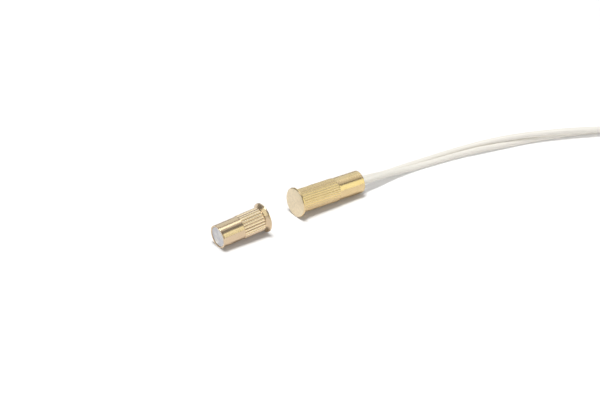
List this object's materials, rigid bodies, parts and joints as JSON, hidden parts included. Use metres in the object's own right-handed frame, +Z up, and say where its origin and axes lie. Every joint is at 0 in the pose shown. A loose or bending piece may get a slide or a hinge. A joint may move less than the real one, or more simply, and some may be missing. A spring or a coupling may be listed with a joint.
{
  "type": "recessed magnetic contact",
  "caption": "Recessed magnetic door contact: flanged, knurled brass reed-switch barrel with insulated wire leads, and its matching ribbed brass magnet barrel.",
  "frame": {"origin": "on the surface that the pair lies on, under the middle of the box round the two barrels, without the leads", "axes": "+X along the contact barrel from its flange to its leads, +Z up, +Y to the side"},
  "size_m": [0.156, 0.0322, 0.0083],
  "materials": {
    "contact_brass": "turned, bright, lacquer free",
    "magnet_brass": "turned, bright, slightly paler",
    "lead_insulation": "satin extruded insulation",
    "tinned_copper": "tinned strands",
    "reed_metal": "satin nickel-iron",
    "reed_glass": "clear, green tinge",
    "sleeve": "heat shrink, satin",
    "potting": "cast resin, slightly wavy",
    "solder": "dull solder",
    "magnet_alloy": "ground cast magnet alloy",
    "adhesive": "silver grey, glossy, uneven",
    "tie": "thin satin plastic over wire"
  },
  "bodies": {
    "root": {"contact_housing": "contact_brass", "reed_glass": "reed_glass", "reed_blade_front": "reed_metal", "reed_blade_rear": "reed_metal", "reed_sleeve": "sleeve", "return_wire_sleeve": "sleeve", "solder_joint_a": "solder", "solder_joint_b": "solder", "conductor_a": "tinned_copper", "conductor_b": "tinned_copper", "contact_potting": "potting", "magnet_housing": "magnet_brass", "bar_magnet": "magnet_alloy", "magnet_adhesive": "adhesive", "lead_a": "lead_insulation", "lead_b": "lead_insulation", "lead_coil": "lead_insulation", "coil_tie": "tie", "lead_a_tip": "tinned_copper", "lead_b_tip": "tinned_copper"}
  },
  "joints": []
}
